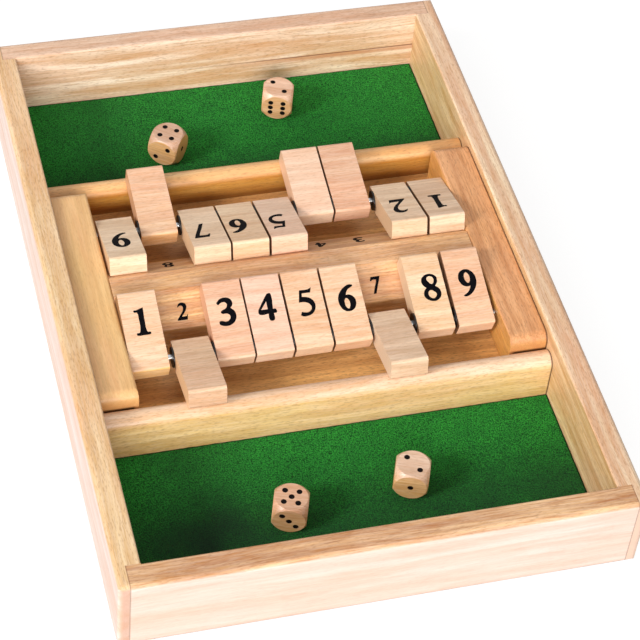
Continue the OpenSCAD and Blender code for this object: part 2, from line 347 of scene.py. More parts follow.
    for axis, line_at, reach, colour, depth, *fade in joints:
        across = add(tree, "ShaderNodeSeparateXYZ", {0: coords["Object"]})
        off = add(tree, "ShaderNodeMath", {
            0: across.outputs[axis], 1: line_at * MM,
        }, operation="SUBTRACT")
        gap = add(tree, "ShaderNodeMath", {0: off.outputs[0]}, operation="ABSOLUTE")
        dark_line = add(tree, "ShaderNodeMapRange", {
            "Value": gap.outputs[0], "From Min": reach * MM, "From Max": reach * MM * JOINT_CORE,
        }, interpolation_type="SMOOTHSTEP").outputs[0]
        if fade:
            shown = add(tree, "ShaderNodeMapRange", {
                "Value": across.outputs[0], "From Min": fade[0] * MM, "From Max": fade[1] * MM,
            })
            dark_line = add(tree, "ShaderNodeMath", {
                0: dark_line, 1: shown.outputs[0],
            }, operation="MULTIPLY").outputs[0]
        body = toward(body, colour, dark_line, depth)

    lacquer = add(tree, "ShaderNodeMapRange", {
        "Value": pattern["fibre"], "To Min": rough + FIBRE_GLOSS, "To Max": rough - FIBRE_GLOSS,
    })
    height = add(tree, "ShaderNodeMath", {
        0: pattern["vessel"], 1: -VESSEL_SINK, 2: pattern["fibre"],
    }, operation="MULTIPLY_ADD")
    arris = add(tree, "ShaderNodeBevel", {"Radius": 0.25 * MM}, samples=4)
    relief = add(tree, "ShaderNodeBump", {
        "Height": height.outputs[0], "Normal": arris.outputs[0], "Strength": 0.3, "Distance": 0.06 * MM,
    })
    surface = add(tree, "ShaderNodeBsdfPrincipled", {
        "Base Color": body, "Roughness": lacquer.outputs[0], "Normal": relief.outputs[0],
        "IOR": 1.5, "Specular IOR Level": 0.42, "Coat Weight": 0.12, "Coat Roughness": 0.28,
    })
    add(tree, "ShaderNodeOutputMaterial", {"Surface": surface.outputs[0]})
    dress(node, material)


def green_felt():
    """Pressed wool felt, dyed billiard green.

    The eye gets a dull cloth with a fine salt-and-pepper of light fibre ends and dark hollows, and a
    soft bloom at glancing angles; the dark of the hollows is painted shade. A wool fibre is a fortieth
    of a millimetre, so the tangles are drawn at 0.6 mm, as fine as they can show. Painted shade darkens
    the cloth in a band beside the left board and towards each sheet's near edge. The cut edge, where the
    cloth turns down into the gap, is painted nearly black as painted shade.
    """
    material = bpy.data.materials.new("pressed_wool_felt_green")
    tree = new_tree(material)
    coords = add(tree, "ShaderNodeTexCoord").outputs["Object"]
    tangle = add(tree, "ShaderNodeTexNoise", {
        "Vector": coords, "Scale": 1 / (0.6 * MM), "Detail": 3.0, "Roughness": 0.7,
    }).outputs["Fac"]
    pill = add(tree, "ShaderNodeTexNoise", {"Vector": coords, "Scale": 1 / (5.5 * MM), "Detail": 3.0})
    hair = add(tree, "ShaderNodeTexVoronoi", {
        "Vector": coords, "Scale": 1 / (0.7 * MM), "Randomness": 1.0,
    })
    hollow_shade = add(tree, "ShaderNodeTexNoise", {"Vector": coords, "Scale": 1 / (0.9 * MM), "Detail": 2.0})
    # Painted shade on the cloth, beside the left board and towards the near edge, kept on the sheet's
    # points.
    painted_shade = add(tree, "ShaderNodeAttribute", attribute_name="painted_felt_shade")
    # Painted shade along the cut edge, where the cloth meets the wood.
    rim = add(tree, "ShaderNodeAttribute", attribute_name="painted_edge_shade")
    light = add(tree, "ShaderNodeMapRange", {"Value": tangle, "From Min": 0.40, "From Max": 0.60})
    cloth = add(tree, "ShaderNodeMix", {
        SHARE: light.outputs[0], FIRST: linear("0A3C1A"), SECOND: linear("34A93A"),
    }, data_type="RGBA").outputs[MIXED]
    # What lies over the dyed cloth, from the bottom up: the pattern, where it starts to show and where
    # it is full, how much it then covers, and its tone.
    layers = (
        (pill.outputs["Fac"], 0.38, 0.62, 0.30, "185C26"),
        (hair.outputs["Distance"], 0.30, 0.08, 0.6, "56B45C"),
        # painted shade: the cloth's hollows darkened
        (hollow_shade.outputs["Fac"], 0.44, 0.34, 0.8, "07280F"),
        # painted shade beside the left board and towards the near edge
        (painted_shade.outputs["Fac"], 0.0, 1.0, 1.0, "1E3326"),
        # painted shade: the cut edge nearly black
        (rim.outputs["Fac"], 0.1, 0.8, 0.9, "06120A"),
    )
    for pattern, starts, full, most, tone in layers:
        cover = add(tree, "ShaderNodeMapRange", {
            "Value": pattern, "From Min": starts, "From Max": full, "To Max": most,
        })
        cloth = add(tree, "ShaderNodeMix", {
            SHARE: cover.outputs[0], FIRST: cloth, SECOND: linear(tone),
        }, data_type="RGBA").outputs[MIXED]
    relief = add(tree, "ShaderNodeBump", {"Height": tangle, "Strength": 1.0, "Distance": 0.6 * MM})
    surface = add(tree, "ShaderNodeBsdfPrincipled", {
        "Base Color": cloth, "Roughness": 0.95, "Normal": relief.outputs[0], "Specular IOR Level": 0.12,
        "Sheen Weight": 0.12, "Sheen Roughness": 0.5, "Sheen Tint": linear("7FD08A"),
    })
    add(tree, "ShaderNodeOutputMaterial", {"Surface": surface.outputs[0]})
    return material


def drawn_steel():
    """Bright drawn steel rod: long fine die lines along X that stretch every highlight.

    Die lines are finer than a tenth of a millimetre, and are drawn 0.35 mm wide so that they show.
    """
    material = bpy.data.materials.new("bright_drawn_steel")
    tree = new_tree(material)
    coords = add(tree, "ShaderNodeTexCoord").outputs["Object"]
    long = add(tree, "ShaderNodeMapping", {
        "Vector": coords, "Scale": (1 / (12 * MM), 1 / (0.35 * MM), 1 / (0.35 * MM)),
    })
    scratch = add(tree, "ShaderNodeTexNoise", {"Vector": long.outputs[0], "Scale": 1.0, "Detail": 2.0})
    tone = add(tree, "ShaderNodeMix", {
        SHARE: scratch.outputs["Fac"], FIRST: linear("B9BBBD"), SECOND: linear("E2E3E4"),
    }, data_type="RGBA")
    dull = add(tree, "ShaderNodeMapRange", {
        "Value": scratch.outputs["Fac"], "To Min": 0.16, "To Max": 0.38,
    })
    relief = add(tree, "ShaderNodeBump", {
        "Height": scratch.outputs["Fac"], "Strength": 0.25, "Distance": 0.03 * MM,
    })
    surface = add(tree, "ShaderNodeBsdfPrincipled", {
        "Base Color": tone.outputs[MIXED], "Metallic": 1.0, "Roughness": dull.outputs[0],
        "Normal": relief.outputs[0],
    })
    add(tree, "ShaderNodeOutputMaterial", {"Surface": surface.outputs[0]})
    return material


def oiled_steel():
    """Stamped washers in dark oiled steel: nearly black clouded faces, a slightly paler worn rim."""
    material = bpy.data.materials.new("oiled_stamped_steel")
    tree = new_tree(material)
    coords = add(tree, "ShaderNodeTexCoord").outputs
    cloud = add(tree, "ShaderNodeTexNoise", {
        "Vector": coords["Object"], "Scale": 1 / (1.2 * MM), "Detail": 4.0,
    })
    facing = add(tree, "ShaderNodeSeparateXYZ", {0: coords["Normal"]})
    flat = add(tree, "ShaderNodeMath", {0: facing.outputs[0]}, operation="ABSOLUTE")
    rim = add(tree, "ShaderNodeMapRange", {"Value": flat.outputs[0], "From Min": 0.8, "From Max": 0.4})
    film = add(tree, "ShaderNodeMix", {
        SHARE: cloud.outputs["Fac"], FIRST: linear("141211"), SECOND: linear("262322"),
    }, data_type="RGBA")
    tone = add(tree, "ShaderNodeMix", {
        SHARE: rim.outputs[0], FIRST: film.outputs[MIXED], SECOND: linear("3E3C3C"),
    }, data_type="RGBA")
    dull = add(tree, "ShaderNodeMapRange", {
        "Value": cloud.outputs["Fac"], "To Min": 0.30, "To Max": 0.50,
    })
    arris = add(tree, "ShaderNodeBevel", {"Radius": 0.15 * MM}, samples=4)
    relief = add(tree, "ShaderNodeBump", {
        "Height": cloud.outputs["Fac"], "Normal": arris.outputs[0], "Strength": 0.2, "Distance": 0.03 * MM,
    })
    surface = add(tree, "ShaderNodeBsdfPrincipled", {
        "Base Color": tone.outputs[MIXED], "Metallic": 1.0, "Roughness": dull.outputs[0],
        "Normal": relief.outputs[0],
    })
    add(tree, "ShaderNodeOutputMaterial", {"Surface": surface.outputs[0]})
    return material


def printed_ink():
    """Black pad-printing ink: a thin satin film that goes a little grey over the pores."""
    material = bpy.data.materials.new("black_pad_print_ink")
    tree = new_tree(material)
    coords = add(tree, "ShaderNodeTexCoord").outputs["Object"]
    long = add(tree, "ShaderNodeMapping", {
        "Vector": coords, "Scale": (1 / (2.5 * MM), 1 / (0.5 * MM), 1 / (0.5 * MM)),
    })
    thin = add(tree, "ShaderNodeTexNoise", {"Vector": long.outputs[0], "Scale": 1.0, "Detail": 2.0})
    worn = add(tree, "ShaderNodeMapRange", {
        "Value": thin.outputs["Fac"], "From Min": 0.55, "From Max": 0.75,
    })
    tone = add(tree, "ShaderNodeMix", {
        SHARE: worn.outputs[0], FIRST: linear("050509"), SECOND: linear("141215"),
    }, data_type="RGBA")
    dull = add(tree, "ShaderNodeMapRange", {"Value": thin.outputs["Fac"], "To Min": 0.5, "To Max": 0.7})
    relief = add(tree, "ShaderNodeBump", {
        "Height": thin.outputs["Fac"], "Strength": 0.3, "Distance": 0.05 * MM,
    })
    surface = add(tree, "ShaderNodeBsdfPrincipled", {
        "Base Color": tone.outputs[MIXED], "Roughness": dull.outputs[0], "Normal": relief.outputs[0],
        "Specular IOR Level": 0.05,
    })
    add(tree, "ShaderNodeOutputMaterial", {"Surface": surface.outputs[0]})
    return material


def burnt_pip():
    """Wood burnt black with a hot punch: matt soot in the middle, scorched brown at the rim."""
    material = bpy.data.materials.new("burnt_wood_black")
    tree = new_tree(material)
    rim = add(tree, "ShaderNodeAttribute", attribute_name="rim")
    coords = add(tree, "ShaderNodeTexCoord").outputs["Object"]
    soot = add(tree, "ShaderNodeTexNoise", {"Vector": coords, "Scale": 1 / (0.5 * MM), "Detail": 3.0})
    edge = add(tree, "ShaderNodeMath", {
        0: soot.outputs["Fac"], 1: 0.25, 2: rim.outputs["Fac"],
    }, operation="MULTIPLY_ADD")
    scorch = add(tree, "ShaderNodeMapRange", {
        "Value": edge.outputs[0], "From Min": 0.98, "From Max": 1.14,
    })
    tone = add(tree, "ShaderNodeMix", {
        SHARE: scorch.outputs[0], FIRST: linear("0A0606"), SECOND: linear("4E2E18"),
    }, data_type="RGBA")
    relief = add(tree, "ShaderNodeBump", {
        "Height": soot.outputs["Fac"], "Strength": 0.5, "Distance": 0.06 * MM,
    })
    surface = add(tree, "ShaderNodeBsdfPrincipled", {
        "Base Color": tone.outputs[MIXED], "Roughness": 0.7, "Normal": relief.outputs[0],
        "Specular IOR Level": 0.1,
    })
    add(tree, "ShaderNodeOutputMaterial", {"Surface": surface.outputs[0]})
    return material


# ---- Numbers ---------------------------------------------------------------

# Outlines of old-style numerals in millimetres, 14 mm tall and centred on x = 0.
# A point with a third value is a sharp corner; the others are on a smooth curve.
NUMERAL_MM = 14.0
NUMERALS = {
    1: [[(1.8, 14, 0), (-0.2, 13.4), (-1.6, 13), (-2.7, 12.9), (-2.6, 12.1), (-1.4, 11.9), (-1, 11.1),
         (-0.9, 9), (-1.2, 2.6), (-1.7, 1.4), (-3, 1.2), (-3.1, 0.3), (-2.3, 0, 0), (2.6, 0, 0),
         (3.4, 0.4), (3.2, 1.2), (2.1, 1.4), (1.6, 2.6), (1.5, 6)]],
    2: [[(-2.9, 11, 0), (-2.2, 12.8), (-0.7, 13.9), (1.2, 14.1), (3.3, 13.1), (4.2, 11), (3.6, 8.6),
         (2, 6), (0.2, 3.9), (-0.8, 2.5, 0), (2.2, 2.6), (3.6, 2.8), (4.4, 3.8, 0), (3.7, 0, 0),
         (-4.2, 0, 0), (-4.1, 0.8, 0), (-2, 3.4), (0.2, 6.2), (1.3, 8.2), (1.6, 10), (1, 11.5),
         (-0.4, 12.1), (-1.8, 11.7)]],
    3: [[(-3.8, 11.9), (-3, 13.1), (-1.5, 14.2), (0.4, 14.5), (2.6, 13.8), (3.7, 11.8), (3.5, 10.2),
         (2.3, 8.8, 0), (3.9, 7.1), (4.4, 5), (3.7, 2.4), (1.8, 0.5), (-0.8, -0.2), (-3, 0.2), (-4.3, 1.3),
         (-3.9, 2.6), (-2.6, 2.6), (-1.1, 2.1), (0.6, 2.7), (1.5, 4.3), (0.9, 5.7), (-0.6, 6.2), (-2, 6.3),
         (-2.6, 7.2), (-1.9, 8), (-0.2, 8.7), (0.9, 10.2), (0.7, 11.6), (-0.6, 12.2), (-2, 11.8),
         (-3.1, 11.1)]],
    4: [[(1.6, 14), (3, 14.1), (3.4, 13.2), (2.9, 5.8, 0), (4.1, 5.8), (4.5, 5.1), (4.5, 4),
         (4.1, 3.6, 0), (2.9, 3.6, 0), (2.8, 0.5), (2.4, 0), (0.7, 0), (0.3, 0.5), (0.3, 3.6, 0),
         (-3.8, 3.6), (-4.3, 4.2), (-4.2, 5.8), (-3.9, 6.5, 0), (1, 13.4)],
        [(0.4, 10.1, 0), (0.4, 6, 0), (-2.8, 6, 0)]],
    5: [[(-2.1, 13.4, 0), (1.8, 13.4), (3.5, 14.1, 0), (2.8, 11.9, 0), (-1.3, 11.9, 0), (-1.7, 9.9, 0),
         (0.5, 9.5), (2.5, 8.4), (3.7, 6.5), (3.85, 4.5), (3, 2.2), (1.3, 0.6), (-0.6, 0), (-3, 0.1),
         (-3.8, 0.7, 0), (-3.1, 2.1, 0), (-1.9, 1.75), (-0.5, 1.6), (1.1, 2.2), (2.1, 3.8), (1.9, 5.3),
         (0.9, 6.5), (-0.9, 7.3), (-3.4, 7.4, 0)]],
    6: [[(4.1, 13.7, 0), (2.3, 14), (0, 13), (-2.4, 10.9), (-3.8, 8.5), (-4.3, 6), (-3.9, 3.3),
         (-2.6, 1.1), (-0.4, 0.1), (1.6, 0.5), (3.4, 2.1), (4.1, 4.3), (3.9, 6.5), (2.6, 8.2), (1.2, 8.8),
         (0, 8.7, 0), (0.4, 10), (1.5, 11.5), (3, 12.4), (4.1, 13, 0)],
        [(-0.2, 7.1), (0.7, 6.3), (1.1, 4.4), (0.7, 2.4), (-0.1, 1.6), (-1, 2.4), (-1.4, 4.4), (-1.1, 6.3)]],
    7: [[(-2.9, 14, 0), (4.5, 14.1, 0), (3.9, 12.2), (3, 9.6), (1.2, 4.8), (-0.4, 0.2, 0), (-2.4, 0, 0),
         (-0.8, 4.9), (0.9, 9.3), (1.6, 11.8, 0), (-1.4, 11.9), (-2.5, 11.7), (-3, 10.9, 0),
         (-3.8, 11.1, 0)]],
    8: [[(-0.2, 14.3), (2.3, 13.8), (3.8, 12.3), (3.9, 11), (3.5, 9.3), (2.2, 7.7, 0), (3.9, 6),
         (4.4, 4), (3.7, 1.7), (1.5, 0), (0, -0.2), (-2.4, 0.6), (-3.9, 2.2), (-4.2, 3.8), (-3.6, 5.7),
         (-2.3, 7.1, 0), (-3.7, 8.9), (-4, 11.1), (-2.9, 13.1)],
        [(-1.2, 11.9), (-0.3, 12.9), (1.1, 12.9), (2.1, 11.8), (2, 10.2), (0.9, 8.9), (-0.7, 10.3)],
        [(-0.4, 5.7), (1.2, 4.8), (2, 3.4), (1.3, 1.9), (0, 1.3), (-1.4, 2.1), (-2, 3.7), (-1.5, 5.1)]],
    9: [[(0.1, 14.3), (2.4, 13.3), (3.9, 11.3), (4.35, 8.9), (3.9, 5.8), (2.4, 3.1), (0.2, 1), (-2, 0),
         (-3.4, 0.1, 0), (-3.7, 0.8, 0), (-2.2, 1.5), (-0.5, 2.9), (0.8, 5.3, 0), (-0.6, 5.1), (-2.5, 5.7),
         (-3.8, 7.4), (-4.3, 9.9), (-3.5, 12.5), (-1.8, 13.9)],
        [(0, 12.6), (0.9, 11.8), (1.4, 9.8), (1, 7.8), (0.1, 6.9), (-0.8, 7.7), (-1.3, 9.8), (-0.9, 11.8)]],
}
NUMERAL_STEPS = 7                      # straight bits between two points of an outline
STROKE_SPREAD_MM = {1: 0.08, 5: 0.14}  # how far the ink of these spread past the outline
RIDGE_SPREAD_MM = 0.22                 # and how far it did on the small ridge numerals
INK_PROUD_MM = 0.04                    # how far the ink stands out of the wood
INK_SUNK_MM = 0.06                     # and how far it has soaked in
MERGE = 1e-6                           # metres; points closer than this are one point

# Each tile was printed by hand, so its numeral sits a little off: millimetres to the right of the
# tile's middle line, and from the rod to the numeral's middle.
TILE_PRINT_MM = {
    "near": [(0, 17.9), (0, 17.7), (-0.3, 16.9), (0.15, 16.4), (0.45, 16.3), (1, 15.5), (0, 16.5),
             (1.95, 15), (0.6, 14.9)],
    "far": [(-0.1, 18.8), (-0.5, 18.5), (0, 17.7), (0, 17.4), (-2.1, 18.3), (-2.45, 17.5), (-2.2, 17.8),
            (0, 16.3), (-0.4, 16.8)],
}
RIDGE_NUMERAL_MM = 8.2        # height of a numeral on the ridge
RIDGE_NUMERAL_DOWN_MM = 11.2  # from the ridge's top arris down its slope to a numeral's middle
RIDGE_PITCH_MM = 19.13        # from one numeral to the next
RIDGE_SHIFT_MM = -1.0         # how far the whole print sits to the right of the middle
MIDDLE_DIGIT = 5
OUTWARD = {"near": -1, "far": 1}  # which way along Y the row's player sits
SAME_WAY = 0.8                    # how closely a face has to look the given way, as a cosine


def numeral_mesh(digit, spread):
    """A printed numeral as a thin closed film in the XY plane, in millimetres, with its middle at 0."""
    curve = bpy.data.curves.new(f"numeral_{digit}", "CURVE")
    curve.dimensions = "2D"
    curve.fill_mode = "BOTH"
    curve.resolution_u = NUMERAL_STEPS
    curve.extrude = (INK_PROUD_MM + INK_SUNK_MM) / 2
    curve.offset = spread
    for outline in NUMERALS[digit]:
        spline = curve.splines.new("BEZIER")
        spline.bezier_points.add(len(outline) - 1)
        spline.use_cyclic_u = True
        for knot, point in zip(spline.bezier_points, outline):
            knot.co = (point[0], point[1] - NUMERAL_MM / 2, 0)
            bend = "VECTOR" if len(point) == 3 else "AUTO"
            knot.handle_left_type = knot.handle_right_type = bend
    mesh = baked(new_object("numeral_maker", curve))
    bpy.data.curves.remove(curve)
    return mesh


def widest_face(node, towards):
    """Normal of a CAD node's largest flat face that looks about that way, and how far out it lies."""
    faces = {}
    towards = Vector(towards).normalized()
    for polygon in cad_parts[node].data.polygons:
        if polygon.normal.dot(towards) > SAME_WAY:
            key = tuple(round(n, 3) for n in polygon.normal)
            area, _, _ = faces.get(key, (0, None, None))
            faces[key] = (area + polygon.area, polygon.normal.copy(), polygon.center.copy())
    _, normal, middle = max(faces.values(), key=lambda face: face[0])
    return normal, normal.dot(middle)


def print_numerals(name, body, places):
    """One ink piece from (digit, height in mm, point on the wood, way up, wood's normal)."""
    ink = bmesh.new()
    for digit, height, point, up, normal in places:
        size = MM * height / NUMERAL_MM
        right = up.cross(normal)
        middle = point + normal * MM * (INK_PROUD_MM - INK_SUNK_MM) / 2
        turn = Matrix((right * size, up * size, normal * MM)).transposed().to_4x4()
        spread = RIDGE_SPREAD_MM if height == RIDGE_NUMERAL_MM else STROKE_SPREAD_MM.get(digit, 0)
        mesh = numeral_mesh(digit, spread)
        mesh.transform(Matrix.Translation(middle) @ turn)
        ink.from_mesh(mesh)
        bpy.data.meshes.remove(mesh)
    bmesh.ops.remove_doubles(ink, verts=ink.verts, dist=MERGE)
    bmesh.ops.recalc_face_normals(ink, faces=ink.faces)
    return finish_piece(name, ink, body, MATERIALS["ink"])


def finish_piece(name, shape, body, material, smooth=False):
    """Turns a bmesh into a piece of that name, riding on a body."""
    mesh = bpy.data.meshes.new(name)
    shape.to_mesh(mesh)
    shape.free()
    mesh.materials.clear()
    mesh.materials.append(material)
    for polygon in mesh.polygons:
        polygon.use_smooth = smooth
        polygon.material_index = 0
    piece = new_object(name, mesh)
    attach(piece, body)
    return piece


def print_tile(row, digit):
    """The numeral of one tile, on whichever side of it is the numbered one as it lies at rest."""
    node = f"{row}_tile_{digit}"
    low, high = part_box(node)
    middle = (low + high) / 2
    rod = ROD_LINES[row]
    outward = OUTWARD[row]
    shut = (middle.y - rod.y) * outward > 0
    # An open tile has its numbered face up and tilted to its player; a shut one lies on that face.
    normal, height = widest_face(node, (0, 0.3 * outward, -1 if shut else 1))
    reach = middle - rod
    reach.x = 0
    toe = (reach - reach.dot(normal) * normal).normalized()
    aside, up_the_tile = TILE_PRINT_MM[row][digit - 1]
    point = rod + toe * MM * up_the_tile
    point += (height - point.dot(normal)) * normal
    point.x = middle.x + MM * aside
    print_numerals(f"{node}_numeral", node, [(digit, NUMERAL_MM, point, toe, normal)])


def print_ridge(row):
    """The nine small numerals on one slope of the ridge, each bare to see once its tile is shut."""
    outward = OUTWARD[row]
    normal, height = widest_face("number_ridge", (0, 0.6 * outward, 0.8))
    up = Vector((0, -outward * normal.z, abs(normal.y)))
    top_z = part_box("number_ridge")[1].z
    arris = Vector((0, outward * (height - top_z * normal.z) / abs(normal.y), top_z))
    right = up.cross(normal)
    places = []
    for digit in range(1, 10):
        aside = right * MM * RIDGE_PITCH_MM * (digit - MIDDLE_DIGIT)
        point = arris - up * MM * RIDGE_NUMERAL_DOWN_MM + aside
        point.x += MM * RIDGE_SHIFT_MM
        places.append((digit, RIDGE_NUMERAL_MM, point, up, normal))
    print_numerals(f"{row}_ridge_numerals", "tray", places)


# ---- Felt ------------------------------------------------------------------

FELT_STEP_MM = 1.2          # spacing of the cloth's grid
FELT_TRIM_MM = 0.35         # about how far the cut edge stays off the wood
FELT_RAGGED = (0.7, 0.6)    # the share of it that the edge keeps on average, and how much that wanders
FELT_RAGGED_STEP = 0.31     # how far the edge moves through its noise from one grid line to the next
FELT_EDGE_MM = 0.35         # how far the edge rounds down
FELT_SWELL_MM = (28, 0.12)  # length and height of the slow swells in the cloth
FELT_PILL_MM = (2.1, 0.07)  # and of its pills
FELT_SINK_MM = 0.19         # keeps the highest swell and pill together under the solid's top
# Painted shade on the felt: a band beside the left board, and each sheet's near edge.
FELT_SHADE_BAND_X_MM = -68.0      # middle of the band
FELT_SHADE_BAND_REACH_MM = 40.0   # and how far it reaches to either side
FELT_SHADE_BAND_DEPTH = {"near": 0.34, "far": 0.20}
FELT_SHADE_FOOT_STARTS = {"near": 0.80, "far": 0.45}  # shares of the sheet's length, from its near edge
FELT_SHADE_FOOT_FULL = {"near": 0.30, "far": 0.15}
FELT_SHADE_FOOT_DEPTH = 0.58
FELT_SHADE_PATCH_MM = 17          # size of the patches in which the painted shade is deeper or lighter
FELT_SHADE_PATCH_DEPTH = 0.3


def patches(x, y, size_mm, layer):
    """Smooth noise from -1 to 1 in patches of about that size. Each layer is a pattern of its own."""
    return noise.noise(Vector((x / (size_mm * MM), y / (size_mm * MM), layer)))


def soft_step(share):
    """A share from 0 to 1 that starts and stops softly."""
    share = min(max(share, 0.0), 1.0)
    return share * share * (3 - 2 * share)


def painted_felt_shade(row, x, y, foot):
    """How deep the painted shade is at a place on a sheet. Foot is how far up the sheet that is, from 0 to
    1.
    """
    band = soft_step(1 - abs(x / MM - FELT_SHADE_BAND_X_MM) / FELT_SHADE_BAND_REACH_MM)
    starts = FELT_SHADE_FOOT_STARTS[row]
    near = soft_step((starts - foot) / (starts - FELT_SHADE_FOOT_FULL[row]))
    patchy = 1 + FELT_SHADE_PATCH_DEPTH * patches(x, y, FELT_SHADE_PATCH_MM, 5.0)
    return patchy * (FELT_SHADE_BAND_DEPTH[row] * band + FELT_SHADE_FOOT_DEPTH * near)


def lay_felt(row):
    """A sheet of felt glued into one dice tray: a closed slab whose top is slightly uneven and pilled."""
    node = f"{row}_felt"
    low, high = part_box(node)
    across = round((high.x - low.x) / (FELT_STEP_MM * MM))
    along = round((high.y - low.y) / (FELT_STEP_MM * MM))
    shape = bmesh.new()
    # painted shade along the cut edge of the sheet
    painted_edge_shade = shape.verts.layers.float.new("painted_edge_shade")
    # painted shade beside the left board and towards the sheet's near edge
    shade_layer = shape.verts.layers.float.new("painted_felt_shade")
    top, bottom = [], []
    for grid in (top, bottom):
        for j in range(along + 1):
            for i in range(across + 1):
                edge = i in (0, across) or j in (0, along)
                ragged = noise.noise(Vector((i * FELT_RAGGED_STEP, j * FELT_RAGGED_STEP, 3.0)))
                trim = FELT_TRIM_MM * MM * (FELT_RAGGED[0] + FELT_RAGGED[1] * ragged)
                x = min(max(low.x + (high.x - low.x) * i / across, low.x + trim), high.x - trim)
                y = min(max(low.y + (high.y - low.y) * j / along, low.y + trim), high.y - trim)
                swell = FELT_SWELL_MM[1] * patches(x, y, FELT_SWELL_MM[0], 0.0)
                pill = FELT_PILL_MM[1] * patches(x, y, FELT_PILL_MM[0], 7.0)
                z = high.z + MM * (swell + pill - FELT_SINK_MM)
                if edge:
                    z -= FELT_EDGE_MM * MM
                point = shape.verts.new((x, y, z if grid is top else low.z))
                point[painted_edge_shade] = float(edge)
                point[shade_layer] = painted_felt_shade(row, x, y, j / along)
                grid.append(point)
    row_length = across + 1
    for j in range(along):
        for i in range(across):
            a = j * row_length + i
            quad = (a, a + 1, a + 1 + row_length, a + row_length)
            shape.faces.new([top[k] for k in quad])
            shape.faces.new([bottom[k] for k in reversed(quad)])
    rim = [j * row_length for j in range(along, 0, -1)] + list(range(across))
    rim += [across + j * row_length for j in range(along)]
    rim += [along * row_length + i for i in range(across, 0, -1)]
    for a, b in zip(rim, rim[1:] + rim[:1]):
        shape.faces.new((top[a], bottom[a], bottom[b], top[b]))
    felt = finish_piece(f"{row}_felt_sheet", shape, "tray", MATERIALS["felt"], smooth=True)
    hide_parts(node)


# ---- Pips ------------------------------------------------------------------

PIP_MM = 2.8
PIP_DEPTH_MM = 0.5
PIP_STEP_MM = 3.25
STAIN_REACH = 0.49         # radius of a burnt spot, as a share of the pip's diameter
STAIN_MM = 0.08            # thickness of the burnt layer
STAIN_PROUD_MM = 0.02      # how far its top lies over the pit's surface
STAIN_SIDES = 28
STAIN_RINGS = 4
STAIN_SIZES = (0.95, 1.0)  # smallest and largest, because a hand held the punch
# How each die lies: turned about Z, and which way up.
DICE = {
    "die_1": (-36, (0, 90, 0)),
    "die_2": (-18, (-90, 0, 0)),
    "die_3": (-19, (90, 0, -90)),
    "die_4": (-20.5, (-90, 0, 180)),
}
CORNERS = [(a, b) for a in (-1, 1) for b in (-1, 1)]
# Each face's normal and its pips in steps of PIP_STEP_MM. Opposite faces add up to seven.
PIPS = [
    ((0, 0, 1), [(0, 0, 0)]),
    ((0, -1, 0), [(-1, 0, 1), (1, 0, -1)]),
    ((1, 0, 0), [(0, 1, 1), (0, 0, 0), (0, -1, -1)]),
    ((-1, 0, 0), [(0, a, b) for a, b in CORNERS]),
    ((0, 1, 0), [(0, 0, 0)] + [(a, 0, b) for a, b in CORNERS]),
    ((0, 0, -1), [(a, b, 0) for a in (-1, 1) for b in (-1, 0, 1)]),
]


